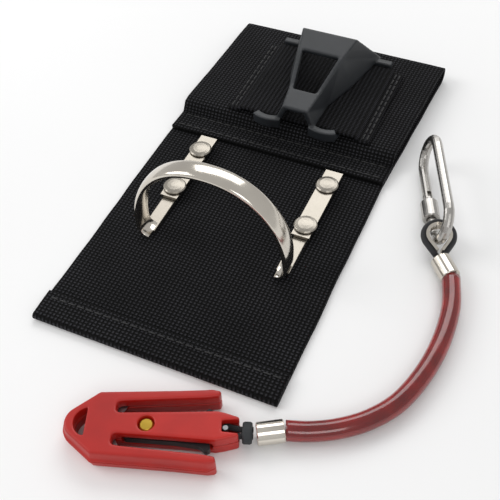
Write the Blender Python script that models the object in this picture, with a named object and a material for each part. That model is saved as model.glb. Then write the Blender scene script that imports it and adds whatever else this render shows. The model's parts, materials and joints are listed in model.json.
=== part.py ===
"""A nylon belt holster with a steel hammer hoop and a sliding clip, and a two-slot line cutter on a short
sheathed lanyard that ends in a small screw-gate carabiner.

Metres, +Z up. The holster lies on its back, with its belt sleeve towards +Y, and the cutter lies below it.
Everything is laid out from the middle of the panel's bottom edge. The last step moves the whole layout, so
that the origin is under the middle of the holster and the cutter.
"""

import math

import bmesh
import bpy
from mathutils import Matrix, Vector

for old in list(bpy.data.objects):
    bpy.data.objects.remove(old, do_unlink=True)

# --- Driving dimensions ---------------------------------------------------------------------------

GAP = 0.0003  # between pieces that touch

# holster sheet, one length of heavy woven nylon
PANEL_WIDTH = 0.100
SEAM_Y = 0.116  # where the folded top is sewn down
SLEEVE_TOP_Y = 0.197
SHEET_THICK = 0.0019
HEM_DEPTH = 0.013
HEM_THICK = 0.0032
SEAM_DEPTH = 0.011
BELT_GAP = 0.0048  # room for a belt in the sleeve
SLEEVE_SHIFT = 0.004  # the folded top is sewn this far to +X at its upper edge

# webbing band across the sleeve
WEBBING_WIDTH = 0.050
WEBBING_LENGTH = 0.066
WEBBING_THICK = 0.0016
WEBBING_LOW_Y = 0.130
WEBBING_SEWN = 0.004

# moulded clip on the webbing
CLIP_X = 0.0053
RAIL_THICK = 0.0015
RAIL_WIDTH = 0.0032
SADDLE_WALL = 0.0024
SADDLE_TOP_Z = 0.0225  # roof above the rails at its wide end

# hammer hoop and its fixings
TANG_X = 0.0295
TANG_WIDTH = 0.0056
TANG_THICK = 0.0016
TANG_TOP_Y = 0.109
HOOP_HALF = 0.0310  # inner half width
HOOP_HIGH = 0.0405  # inner crown above the tang
HOOP_BAND = 0.0085
HOOP_EDGE = 0.0011
HOOP_CROWN = 0.0027
HOOP_FOOT_Y = 0.0515
FOOT_BEND = 0.0036
PLATE_WIDTH = 0.0076
PLATE_THICK = 0.0013
PLATE_LOW_Y = 0.0735
PLATE_HIGH_Y = 0.1130
RIVET_YS = (0.0795, 0.1040)
RIVET_HEAD_R = 0.0048
RIVET_HEAD_H = 0.0014
RIVET_SHANK_R = 0.0016
WASHER_R = 0.0042
WASHER_THICK = 0.0007

# cutter, in stations along its length from the anchor pin (the tail is +)
KNIFE_HIGH = 0.0095
KNIFE_TILT = math.radians(20.7)
KNIFE_XY = (0.0391, -0.0173)  # the anchor pin on the layout
NOSE_END = -0.0543
NOSE_R = 0.0062
SHOULDER = (-0.0437, 0.0117)
TAIL_HALF = 0.0139
ARM_END = -0.0022
SLOT_END = -0.0373
SLOT_HALF_WIDTH = 0.0021
TONGUE_ROOT_HALF = 0.0040
TONGUE_TAIL_HALF = 0.0056
TONGUE_END = 0.0045
TONGUE_TIP_HALF = 0.0034
NOTCH_START = -0.0012
FLANGE_OUT = 0.0010
FLANGE_HIGH = 0.0007
PLATE_COVER = 0.0031  # solid plate above and below the tongue's pockets
SCREW_S = -0.0265
SCREW_HEAD_R = 0.0025
SCREW_SHANK_R = 0.0012
BLADE_THICK = 0.0006
LEVER_PIVOT = (-0.0330, 0.0029)
LEVER_BOSS_R = 0.0013
LEVER_FREE_S = -0.0046
LEVER_WEB = 0.0025  # inner side of the lever pocket
LEVER_THROW = 0.070  # radians
PIN_R = 0.0005
ANCHOR_PIN_R = 0.0009
EYE_CORD_R = 0.00115

# lanyard
TUBE_R = 0.0036
TUBE_WALL = 0.0011
CORE_R = 0.0014
FERRULE_R = 0.0040
FERRULE_LONG = 0.0095
FERRULE_Z = 0.0042
KEEPER_S = 0.0072
KEEPER_HALF = (0.0016, 0.0040, 0.0030)

# thimble and carabiner
THIMBLE_HOLE_R = 0.0039
THIMBLE_WALL = 0.0006
THIMBLE_HALF_HIGH = 0.0020
THIMBLE_REACH = 0.0143  # from the ferrule's face to the middle of the far arc's section
THIMBLE_CORD_R = 0.0013
RING_ROD_R = 0.0021
RING_HALF = 0.0080  # half the distance between its two limbs
RING_LONG = 0.0550
RING_YAW = math.radians(113.0)  # its long axis, from the thimble to its far end
RING_LEAN = math.radians(-14.0)
GATE_HINGE_X = 0.0020
GATE_NOSE_X = -0.0145
SLEEVE_R = 0.0036
SLEEVE_LONG = 0.0095


# --- Helpers --------------------------------------------------------------------------------------

layout = bpy.data.objects.new("layout", None)
bpy.context.scene.collection.objects.link(layout)


def empty(name, parent, location, rotation=(0, 0, 0)):
    axis = bpy.data.objects.new(name, None)
    bpy.context.scene.collection.objects.link(axis)
    axis.parent = parent
    axis.location = location
    axis.rotation_euler = rotation
    return axis


def material(name, color, roughness, metallic=0.0):
    made = bpy.data.materials.new(name)
    made.use_nodes = True
    shader = made.node_tree.nodes["Principled BSDF"]
    shader.inputs["Base Color"].default_value = (*color, 1)
    shader.inputs["Roughness"].default_value = roughness
    shader.inputs["Metallic"].default_value = metallic
    made.diffuse_color = (*color, 1)
    return made


def finish(name, bm, look, parent=None, smooth=35):
    """Writes a bmesh to a named object with one material."""
    bmesh.ops.recalc_face_normals(bm, faces=bm.faces)
    mesh = bpy.data.meshes.new(name)
    bm.to_mesh(mesh)
    bm.free()
    if smooth:
        mesh.shade_smooth()
        mesh.set_sharp_from_angle(angle=math.radians(smooth))
    obj = bpy.data.objects.new(name, mesh)
    bpy.context.scene.collection.objects.link(obj)
    obj.parent = parent or layout
    obj.data.materials.append(look)
    return obj


def loft(rings, closed=False):
    """A solid through rings of equal length. An open loft is capped, a closed one joins its last ring to its first."""
    bm = bmesh.new()
    rows = [[bm.verts.new(p) for p in ring] for ring in rings]
    pairs = list(zip(rows, rows[1:]))
    if closed:
        pairs.append((rows[-1], rows[0]))
    for low, high in pairs:
        for i in range(len(low)):
            j = (i + 1) % len(low)
            bm.faces.new((low[i], low[j], high[j], high[i]))
    if not closed:
        bm.faces.new(rows[0])
        bm.faces.new(rows[-1])
    return bm


def prism(outline, low, high):
    """A solid from an outline in plan, between two heights."""
    return loft([[(x, y, z) for x, y in outline] for z in (low, high)])


def block(low, high):
    (x0, y0, z0), (x1, y1, z1) = low, high
    return prism([(x0, y0), (x1, y0), (x1, y1), (x0, y1)], z0, z1)


def turned(profile, sides=24):
    """A solid turned about Z from a closed profile of (radius, height); a radius of 0 closes on the axis."""
    bm = bmesh.new()
    on_axis = {i: bm.verts.new((0, 0, z)) for i, (r, z) in enumerate(profile) if r == 0}
    columns = []
    for k in range(sides):
        turn = 2 * math.pi * k / sides
        spot = [(r * math.cos(turn), r * math.sin(turn), z) for r, z in profile]
        columns.append([on_axis.get(i) or bm.verts.new(p) for i, p in enumerate(spot)])
    count = len(profile)
    for k in range(sides):
        a, b = columns[k], columns[(k + 1) % sides]
        for i in range(count):
            j = (i + 1) % count
            corners = []
            for corner in (a[i], b[i], b[j], a[j]):
                if corner not in corners:
                    corners.append(corner)
            if len(corners) > 2:
                bm.faces.new(corners)
    return bm


def rod(points, radius, flat, sides=16):
    """A round bar along a plane line of points; flat is the plane's normal."""
    rings = []
    for i, p in enumerate(points):
        along = (points[min(i + 1, len(points) - 1)] - points[max(i - 1, 0)]).normalized()
        outward = along.cross(flat).normalized()
        turns = [2 * math.pi * k / sides for k in range(sides)]
        rings.append([p + (outward * math.cos(t) + flat * math.sin(t)) * radius for t in turns])
    return loft(rings)


def placed(bm, matrix):
    bmesh.ops.transform(bm, matrix=matrix, verts=bm.verts)
    return bm


def joined(target, extra):
    """Adds a second bmesh to the first as a separate body."""
    mesh = bpy.data.meshes.new("extra")
    extra.to_mesh(mesh)
    extra.free()
    target.from_mesh(mesh)
    bpy.data.meshes.remove(mesh)
    return target


def combine(obj, bm, operation):
    """Cuts a solid out of an object, or adds one to it, with a boolean that stays on the object."""
    tool = finish(obj.name + "_tool", bm, obj.data.materials[0], obj.parent, smooth=0)
    tool.hide_render = True
    tool.display_type = "WIRE"
    cut = obj.modifiers.new(operation.lower(), "BOOLEAN")
    cut.operation = operation
    cut.object = tool
    return obj


def arc(centre, radius, start, end, steps):
    """Points on an arc in plan, angles in degrees."""
    turns = [math.radians(start + (end - start) * i / steps) for i in range(steps + 1)]
    return [(centre[0] + radius * math.cos(t), centre[1] + radius * math.sin(t)) for t in turns]


def mirrored(points):
    """The other half of a symmetric outline, in reverse order."""
    return [(x, -y) for x, y in reversed(points)]


def smooth_route(points, steps):
    """Points on a Catmull-Rom curve through a route's own points."""
    route = [Vector(p) for p in points]
    ends = [2 * route[0] - route[1], *route, 2 * route[-1] - route[-2]]
    made = []
    for a, b, c, d in zip(ends, ends[1:], ends[2:], ends[3:]):
        for i in range(steps):
            t = i / steps
            made.append(0.5 * (2 * b + (c - a) * t + (2 * a - 5 * b + 4 * c - d) * t**2 + (3 * b - a - 3 * c + d) * t**3))
    return [*made, route[-1]]


def tube(name, points, radius, look, parent=None, resolution=2, wall=0.0, closed=False):
    """A round bar along a route: a curve with a bevel and filled caps."""
    curve = bpy.data.curves.new(name, "CURVE")
    curve.dimensions = "3D"
    curve.bevel_depth = radius
    curve.bevel_resolution = resolution
    curve.use_fill_caps = wall == 0 and not closed
    spline = curve.splines.new("POLY")
    spline.points.add(len(points) - 1)
    for spot, p in zip(spline.points, points):
        spot.co = (*p, 1)
    spline.use_cyclic_u = closed
    obj = bpy.data.objects.new(name, curve)
    bpy.context.scene.collection.objects.link(obj)
    obj.parent = parent or layout
    curve.materials.append(look)
    if wall:
        shell = obj.modifiers.new("wall", "SOLIDIFY")
        shell.thickness = wall
        shell.offset = -1
        shell.use_rim = True
    return obj


# --- Materials ------------------------------------------------------------------------------------

nylon = material("nylon", (0.010, 0.010, 0.011), 0.9)
webbing_black = material("webbing", (0.014, 0.014, 0.015), 0.85)
clip_grey = material("clip_grey", (0.050, 0.055, 0.060), 0.5)
steel = material("steel", (0.62, 0.59, 0.55), 0.2, 1.0)
red = material("red_shell", (0.60, 0.050, 0.035), 0.4)
brass = material("brass", (0.52, 0.40, 0.10), 0.3, 1.0)
guard_black = material("guard_black", (0.012, 0.014, 0.015), 0.45)
blade_steel = material("blade_steel", (0.45, 0.45, 0.46), 0.25, 1.0)
cord_black = material("cord_black", (0.012, 0.012, 0.013), 0.8)
keeper_grey = material("keeper_grey", (0.045, 0.048, 0.050), 0.5)
tube_red = material("tube_red", (0.55, 0.020, 0.020), 0.15)
core_dark = material("core_dark", (0.02, 0.006, 0.008), 0.6)


# --- Holster sheet: panel, hem and belt sleeve, one folded length ---------------------------------

sleeve_z = 2 * SHEET_THICK + BELT_GAP  # top of the sleeve
fold_r = sleeve_z / 2
seam_top = 2 * SHEET_THICK
tunnel_end = SLEEVE_TOP_Y - SHEET_THICK
rise_y = SEAM_Y + SEAM_DEPTH
inner_r = fold_r - SHEET_THICK


def holster_sheet():
    """The side profile in (y, z), outer side first, then the belt tunnel as a cut."""
    rise_end = WEBBING_LOW_Y - 0.001
    outer = [(0, 0), (SLEEVE_TOP_Y - fold_r, 0)]
    outer += arc((SLEEVE_TOP_Y - fold_r, fold_r), fold_r, -67.5, 67.5, 6)
    outer += [(SLEEVE_TOP_Y - fold_r, sleeve_z), (rise_end + 0.001, sleeve_z), (rise_end, sleeve_z - 0.0005)]
    outer += [(rise_y, seam_top + 0.0004), (rise_y - 0.001, seam_top), (SEAM_Y, seam_top)]
    outer += [(SEAM_Y - 0.002, SHEET_THICK), (HEM_DEPTH + 0.0005, SHEET_THICK), (HEM_DEPTH, HEM_THICK)]
    outer += [(0.0006, HEM_THICK), (0, HEM_THICK - 0.0006)]
    tunnel = [(rise_y, SHEET_THICK), (tunnel_end - inner_r, SHEET_THICK)]
    tunnel += arc((tunnel_end - inner_r, fold_r), inner_r, -60, 60, 4)
    tunnel += [(tunnel_end - inner_r, sleeve_z - SHEET_THICK), (rise_end + 0.001, sleeve_z - SHEET_THICK)]
    half = PANEL_WIDTH / 2
    cuts = 8
    stations = [-half + PANEL_WIDTH * i / cuts for i in range(cuts + 1)]
    sheet = finish("holster_sheet", loft([[(x, y, z) for y, z in outer] for x in stations]), nylon, smooth=0)
    combine(sheet, loft([[(x, y, z) for y, z in tunnel] for x in (-half - 0.01, half + 0.01)]), "DIFFERENCE")
    return sheet


def shift_sleeve(obj):
    """Moves what lies on the folded top sideways, more towards the top edge."""
    for vert in obj.data.vertices:
        share = (vert.co.y - SEAM_Y) / (SLEEVE_TOP_Y - SEAM_Y)
        vert.co.x += SLEEVE_SHIFT * min(max(share, 0), 1)


sheet = holster_sheet()
shift_sleeve(sheet)

tang_low = SHEET_THICK + GAP
tang_high = tang_low + TANG_THICK
plate_low = tang_high + GAP
plate_high = plate_low + PLATE_THICK
bore_r = RIVET_SHANK_R + GAP
sites = [(side * TANG_X, y) for side in (-1, 1) for y in RIVET_YS]


def bores(radius, low, high, spots):
    """Round cutters at the rivets."""
    bm = bmesh.new()
    for x, y in spots:
        joined(bm, placed(turned([(0, low), (radius, low), (radius, high), (0, high)], 16), Matrix.Translation((x, y, 0))))
    return bm


combine(sheet, bores(bore_r, -0.001, 0.003, sites), "DIFFERENCE")
combine(sheet, bores(WASHER_R + GAP, -0.001, WASHER_THICK + GAP, sites), "DIFFERENCE")


# --- Webbing band, arched over the clip's rails ----------------------------------------------------

rail_low = sleeve_z + GAP
rail_high = rail_low + RAIL_THICK


def clip_webbing():
    half = WEBBING_LENGTH / 2
    flat = half - WEBBING_SEWN
    low = sleeve_z + GAP
    lift = rail_high + GAP - low
    shape = [(-half, 0), (-flat, 0), (-flat + 0.0018, lift), (flat - 0.0018, lift), (flat, 0), (half, 0)]
    under = [(CLIP_X + x, low + z) for x, z in shape]
    over = [(x, z + WEBBING_THICK) for x, z in reversed(under)]
    ring = under + over
    rings = [[(x, y, z) for x, z in ring] for y in (WEBBING_LOW_Y, WEBBING_LOW_Y + WEBBING_WIDTH)]
    return finish("clip_webbing", loft(rings), webbing_black, smooth=0)


clip_webbing()


# --- Hammer hoop ----------------------------------------------------------------------------------


def hoop_path():
    """The inner line of the hoop in (x, z), from one foot's lip over the crown to the other."""
    lip = HOOP_HALF - FOOT_BEND
    foot = arc((lip, tang_high + FOOT_BEND), FOOT_BEND, -90, 0, 5)
    steps = 40
    start_z = tang_high + FOOT_BEND
    arch = []
    for i in range(1, steps // 2 + 1):
        turn = math.pi * i / steps
        x = HOOP_HALF * math.cos(turn) ** (2 / 2.2) if i < steps // 2 else 0
        arch.append((x, start_z + (HOOP_HIGH - FOOT_BEND) * math.sin(turn) ** (2 / 2.2)))
    right = foot + arch
    return right + [(-x, z) for x, z in reversed(right[:-1])]


def hoop_section():
    """The band's section as (outward, along y): flat inside, crowned outside."""
    half = HOOP_BAND / 2
    crown = [(HOOP_EDGE + (HOOP_CROWN - HOOP_EDGE) * math.cos(t) ** 0.8, half * math.sin(t))
             for t in (math.radians(a) for a in (75, 50, 25, 0, -25, -50, -75))]
    return [(0, -half), (0, half), (HOOP_EDGE, half), *crown, (HOOP_EDGE, -half)]


def hammer_hoop():
    path = hoop_path()
    rings = []
    middle = HOOP_FOOT_Y + HOOP_BAND / 2
    for i, (x, z) in enumerate(path):
        ahead = Vector(path[min(i + 1, len(path) - 1)])
        behind = Vector(path[max(i - 1, 0)])
        along = (ahead - behind).normalized()
        outward = Vector((along.y, -along.x))
        high = min(1.0, (z - tang_high) / 0.012)
        rings.append([])
        for n, y in hoop_section():
            thick = min(n, HOOP_EDGE) + max(n - HOOP_EDGE, 0) * high
            thick = thick if high > 0.3 or n == 0 else min(thick, TANG_THICK)
            rings[-1].append((x + outward.x * thick, middle + y, z + outward.y * thick))
    hoop = finish("hammer_hoop", loft(rings), steel)
    for side in (-1, 1):
        low_y = HOOP_FOOT_Y + 0.0035
        x0, x1 = side * TANG_X - TANG_WIDTH / 2, side * TANG_X + TANG_WIDTH / 2
        combine(hoop, block((x0, low_y, tang_low), (x1, TANG_TOP_Y, tang_high)), "UNION")
    combine(hoop, bores(bore_r, 0, 0.006, sites), "DIFFERENCE")
    return hoop


hammer_hoop()

for side, word in ((-1, "left"), (1, "right")):
    x0, x1 = side * TANG_X - PLATE_WIDTH / 2, side * TANG_X + PLATE_WIDTH / 2
    plate = finish("strap_plate_" + word, block((x0, PLATE_LOW_Y, plate_low), (x1, PLATE_HIGH_Y, plate_high)), steel)
    combine(plate, bores(bore_r, 0, 0.01, [s for s in sites if s[0] * side > 0]), "DIFFERENCE")

head_z = plate_high + GAP
dome = [(RIVET_HEAD_R * math.cos(math.radians(a)), head_z + RIVET_HEAD_H * (0.35 + 0.65 * math.sin(math.radians(a))))
        for a in (0, 25, 50, 72)]
rivet = [(0, 0), (RIVET_SHANK_R, 0), (RIVET_SHANK_R, head_z), (RIVET_HEAD_R, head_z), *dome, (0, head_z + RIVET_HEAD_H)]
ring = [(bore_r, 0), (WASHER_R, 0), (WASHER_R, WASHER_THICK), (bore_r, WASHER_THICK)]
for word, (x, y) in zip(("left_low", "left_high", "right_low", "right_high"), sites):
    finish("rivet_" + word, placed(turned(rivet, 24), Matrix.Translation((x, y, 0))), steel)
    finish("washer_" + word, placed(turned(ring, 20), Matrix.Translation((x, y, 0))), steel)


# --- Clip saddle ------------------------------------------------------------------------------------

clip_axis = empty("clip_axis", layout, (CLIP_X, WEBBING_LOW_Y + WEBBING_WIDTH / 2, rail_low))


def saddle_ring(base_y, roof_y, base_half, roof_half, roof_z):
    """One station of the funnel: a bent strip from one base edge over the roof to the other, about the clip's axis."""
    foot = RAIL_THICK + WEBBING_THICK + 2 * GAP
    wall = SADDLE_WALL
    outer = [(-base_half, 0), (-roof_half, roof_z), (roof_half, roof_z), (base_half, 0)]
    inner = [(base_half - wall, 0), (roof_half - wall * 0.8, roof_z - wall), (wall * 0.8 - roof_half, roof_z - wall),
             (wall - base_half, 0)]
    middle = WEBBING_LOW_Y + WEBBING_WIDTH / 2
    points = []
    for x, z in outer + inner:
        share = z / roof_z
        points.append((x, base_y + (roof_y - base_y) * share - middle, foot + z * (1 - foot / roof_z)))
    return points


def bar(points, width, low, high):
    """A flat bar in plan along a line of points."""
    left, right = [], []
    for i, p in enumerate(points):
        ahead, behind = points[min(i + 1, len(points) - 1)], points[max(i - 1, 0)]
        along = (Vector(ahead) - Vector(behind)).normalized()
        left.append((p[0] - along.y * width / 2, p[1] + along.x * width / 2))
        right.append((p[0] + along.y * width / 2, p[1] - along.x * width / 2))
    return prism(left + right[::-1], low, high)


def clip_saddle():
    low_y, high_y = -WEBBING_WIDTH / 2, WEBBING_WIDTH / 2
    centre = WEBBING_LOW_Y + WEBBING_WIDTH / 2
    rings = [saddle_ring(high_y + centre + 0.006, high_y + centre - 0.010, 0.0205, 0.0130, SADDLE_TOP_Z),
             saddle_ring(high_y + centre - 0.020, high_y + centre - 0.023, 0.0150, 0.0102, SADDLE_TOP_Z - 0.0030),
             saddle_ring(low_y + centre + 0.013, low_y + centre + 0.011, 0.0094, 0.0074, SADDLE_TOP_Z - 0.0085),
             saddle_ring(low_y + centre - 0.003, low_y + centre - 0.0025, 0.0092, 0.0058, SADDLE_TOP_Z - 0.0105)]
    saddle = finish("clip_saddle", loft(rings), clip_grey, clip_axis)
    window = [(-0.0052, low_y + 0.0085), (0.0052, low_y + 0.0085), (0.0086, high_y - 0.0215), (-0.0086, high_y - 0.0215)]
    combine(saddle, prism(window, 0.006, SADDLE_TOP_Z + 0.01), "DIFFERENCE")
    top = RAIL_THICK + WEBBING_THICK + 2 * GAP + 0.0012
    ear_low, ear_high = low_y - GAP - RAIL_WIDTH / 2, high_y + GAP + RAIL_WIDTH / 2
    for side in (-1, 1):
        hook = [(0.0070, 0.0004), (0.0095, 0.0012), (0.0120, 0.0017), (0.0145, 0.0016), (0.0168, 0.0010), (0.0186, 0.0)]
        hook = [(side * x, ear_low - drop) for x, drop in hook]
        combine(saddle, bar(hook, RAIL_WIDTH, 0, top), "UNION")
        tab = [(side * 0.0150, ear_high), (side * 0.0265, ear_high)]
        combine(saddle, bar(tab, RAIL_WIDTH, 0, top), "UNION")
        rail = [(side * 0.0178, ear_low), (side * 0.0215, ear_high)]
        combine(saddle, bar(rail, RAIL_WIDTH, 0, RAIL_THICK), "UNION")
    return saddle


clip_saddle()


# --- Cutter shells ----------------------------------------------------------------------------------

knife_axis = empty("knife_axis", layout, (*KNIFE_XY, 0), (0, 0, KNIFE_TILT))
middle_z = KNIFE_HIGH / 2


def knife_half():
    """Half of the plan outline from the nose to the notch, as (station, half width, on the outer rim)."""
    nose = arc((NOSE_END + NOSE_R, 0), NOSE_R, 180, 128, 6)
    outer = nose + [SHOULDER, (SHOULDER[0] + 0.012, SHOULDER[1] + 0.0006), (-0.016, TAIL_HALF - 0.0008)]
    outer += [(ARM_END - 0.0030, TAIL_HALF)]
    root_in, root_out = TONGUE_ROOT_HALF, TONGUE_ROOT_HALF + 2 * SLOT_HALF_WIDTH
    flare = [(ARM_END - 0.0006, TAIL_HALF - 0.0004), (ARM_END, TAIL_HALF - 0.0012), (ARM_END - 0.0006, TAIL_HALF - 0.0027),
             (ARM_END - 0.0050, TAIL_HALF - 0.0034),
             (-0.0165, root_out + 0.0016), (SLOT_END + 0.0030, root_out + 0.0002)]
    corner_r = 0.0014
    end = arc((SLOT_END + corner_r, root_out - corner_r), corner_r, 90, 165, 3)
    end += [(SLOT_END, (root_in + root_out) / 2)]
    end += arc((SLOT_END + corner_r, root_in + corner_r), corner_r, 195, 270, 3)
    tongue = [(-0.0165, TONGUE_ROOT_HALF + 0.0009), (-0.0030, TONGUE_TAIL_HALF), (-0.0006, TONGUE_TAIL_HALF - 0.0005),
              (TONGUE_END - 0.0008, TONGUE_TIP_HALF + 0.0004), (TONGUE_END, TONGUE_TIP_HALF)]
    return [(s, v, True) for s, v in outer] + [(s, v, False) for s, v in flare + end + tongue]


def offset_outline(points, amounts):
    """Moves each point of a counter-clockwise outline outward by its own amount."""
    moved = []
    count = len(points)
    for i, p in enumerate(points):
        a = (Vector(p) - Vector(points[i - 1])).normalized()
        b = (Vector(points[(i + 1) % count]) - Vector(p)).normalized()
        bisector = Vector((a.y + b.y, -a.x - b.x))
        bisector = bisector / max(bisector.length_squared / 2, 0.6)
        moved.append((p[0] + bisector.x * amounts[i], p[1] + bisector.y * amounts[i]))
    return moved


def shell_solid(direction):
    """One moulded half, from the parting line out to its face. The direction is 1 for the upper half, -1 for the lower."""
    half = knife_half()
    far = half + [(s, -v, rim) for s, v, rim in reversed(half) if v > 1e-6]
    loop = [(s, v) for s, v, _ in far][::-1]
    rims = [rim for _, _, rim in far][::-1]
    face = middle_z - 0.0001
    levels = [(GAP / 2, FLANGE_OUT, 0), (FLANGE_HIGH, FLANGE_OUT, 0), (FLANGE_HIGH + 0.0003, 0.0003, 0),
              (face - 0.0006, 0, 0), (face - 0.0002, -0.0002, -0.0002), (face, -0.0006, -0.0005)]
    rings = []
    for height, rim_out, slot_out in levels:
        ring = offset_outline(loop, [rim_out if rim else slot_out for rim in rims])
        rings.append([(s, v, middle_z + direction * height) for s, v in ring])
    return loft(rings)


def nose_hole():
    """A half-moon, straight on the side of the blades."""
    centre = (NOSE_END + 0.0088, 0)
    curve = arc(centre, 0.0056, 105, 255, 10)
    return [(x if x < centre[0] else centre[0], y) for x, y in curve]


def knife_pockets(shell, direction):
    """Cuts the hollows of a shell. They go through the parting line, so both shells take the same cutters."""
    pocket_low, pocket_high = PLATE_COVER, KNIFE_HIGH - PLATE_COVER
    combine(shell, prism(nose_hole(), -0.001, KNIFE_HIGH + 0.001), "DIFFERENCE")
    notch_half = 2 * EYE_CORD_R + GAP + 0.0001
    loop_r = ANCHOR_PIN_R + GAP + 2 * EYE_CORD_R + GAP
    cavity = arc((0, 0), loop_r, 50, 310, 12)
    cavity += [(TONGUE_END + 0.002, -notch_half), (TONGUE_END + 0.002, notch_half)]
    cord_half = EYE_CORD_R + GAP
    combine(shell, prism(cavity, middle_z - cord_half, middle_z + cord_half), "DIFFERENCE")
    if direction > 0:
        end, open_half = TONGUE_END + 0.003, notch_half + 0.0002
        mouth = [(NOTCH_START, -0.0021), (end, -open_half), (end, open_half), (NOTCH_START, 0.0021)]
        combine(shell, prism(mouth, middle_z + 0.0005, KNIFE_HIGH + 0.002), "DIFFERENCE")
    holes = [(0, 0, ANCHOR_PIN_R + GAP), (LEVER_PIVOT[0], LEVER_PIVOT[1], PIN_R + GAP),
             (LEVER_PIVOT[0], -LEVER_PIVOT[1], PIN_R + GAP)]
    for side in (-1, 1):
        boss = LEVER_BOSS_R + GAP
        web = [(LEVER_PIVOT[0] - boss, side * (LEVER_PIVOT[1] - boss)), (LEVER_PIVOT[0] + boss, side * (LEVER_PIVOT[1] - boss)),
               (LEVER_PIVOT[0] + boss + 0.0003, side * LEVER_WEB), (LEVER_FREE_S + 0.0004, side * LEVER_WEB),
               (LEVER_FREE_S + 0.0004, side * (TONGUE_TAIL_HALF + 0.002)), (-0.0165, side * (TONGUE_ROOT_HALF + 0.0016)),
               (LEVER_PIVOT[0] - boss, side * (TONGUE_ROOT_HALF + 0.0012))]
        combine(shell, prism(web, pocket_low, pocket_high), "DIFFERENCE")
        relief = [(-0.0185, side * 0.0011), (-0.0085, side * 0.0011), (-0.0085, side * 0.004), (-0.0185, side * 0.004)]
        combine(shell, prism(relief, pocket_low + 0.0004, pocket_high - 0.0004), "DIFFERENCE")
        pocket = [(s, side * v) for s, v in blade_outline(GAP)]
        seat = BLADE_THICK / 2 + GAP
        combine(shell, prism(pocket, middle_z - seat, middle_z + seat), "DIFFERENCE")
    pins = bmesh.new()
    for s, v, r in holes:
        sunk = 0.0012
        joined(pins, placed(turned([(0, sunk), (r, sunk), (r, KNIFE_HIGH - sunk), (0, KNIFE_HIGH - sunk)], 14),
                            Matrix.Translation((s, v, 0))))
    combine(shell, pins, "DIFFERENCE")


def blade_outline(grow):
    """A trapezium blade whose slanting edge crosses the closed end of a slot."""
    return [(SLOT_END - 0.0042 - grow, 0.0042 - grow), (SLOT_END + 0.0002 + grow, 0.0036 - grow),
            (SLOT_END + 0.0034 + grow, 0.0096 + grow), (SLOT_END - 0.0042 - grow, 0.0096 + grow)]


for name, direction in (("upper_shell", 1), ("lower_shell", -1)):
    shell = finish(name, shell_solid(direction), red, knife_axis, smooth=30)
    shank = SCREW_SHANK_R + GAP
    head = SCREW_HEAD_R + GAP
    through = [(0, 0.0025), (shank, 0.0025), (shank, KNIFE_HIGH - 0.0020), (0, KNIFE_HIGH - 0.0020)]
    if direction > 0:
        seat_z = KNIFE_HIGH - 0.0024
        profile = [(0, seat_z), (head, seat_z), (head + 0.0002, 0.011), (0, 0.011)]
    else:
        profile = [(0, 0.0008), (0.0021 + GAP, 0.0008), (0.0021 + GAP, 0.0030), (0, 0.0030)]
    combine(shell, placed(turned(profile, 22), Matrix.Translation((SCREW_S, 0, 0))), "DIFFERENCE")
    turn = Matrix.Translation((SCREW_S, 0, 0)) @ Matrix.Rotation(0.11, 4, "Z")
    combine(shell, placed(turned(through, 18), turn), "DIFFERENCE")
    knife_pockets(shell, direction)

screw_seat = KNIFE_HIGH - 0.0024 + GAP
screw = [(0, 0.0012), (SCREW_SHANK_R, 0.0012), (SCREW_SHANK_R, screw_seat), (SCREW_HEAD_R, screw_seat),
         (SCREW_HEAD_R, screw_seat + 0.0007), (SCREW_HEAD_R - 0.0005, screw_seat + 0.0011), (0, screw_seat + 0.0011)]
nut = [(SCREW_SHANK_R + GAP, 0.0011), (0.0021, 0.0011), (0.0021, 0.0027), (SCREW_SHANK_R + GAP, 0.0027)]
finish("shell_screw", placed(turned(screw, 24), Matrix.Translation((SCREW_S, 0, 0))), brass, knife_axis)
finish("screw_nut", placed(turned(nut, 6), Matrix.Translation((SCREW_S, 0, 0))), brass, knife_axis, smooth=0)

pin_low, pin_high = 0.0015, KNIFE_HIGH - 0.0015
anchor = [(0, pin_low), (ANCHOR_PIN_R, pin_low), (ANCHOR_PIN_R, pin_high), (0, pin_high)]
finish("anchor_pin", turned(anchor, 14), blade_steel, knife_axis)


def lever_outline():
    """A guard from its pivot to the knuckle at its free end, about the pivot."""
    pivot_s, pivot_v = LEVER_PIVOT
    reach = LEVER_FREE_S - pivot_s
    edge = TONGUE_TAIL_HALF - pivot_v
    boss = arc((0, 0), LEVER_BOSS_R, 90, 290, 9)
    inner = [(0.0013, 0.0), (reach - 0.004, edge - 0.0006), (reach - 0.0004, edge - 0.0004)]
    knuckle = arc((reach - 0.0014, edge + 0.0010), 0.0013, -20, 160, 8)
    outer = [(reach - 0.0040, edge + 0.0005), (reach - 0.012, edge - 0.0006), (0.0030, 0.0014)]
    return boss + inner + knuckle + outer


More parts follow.
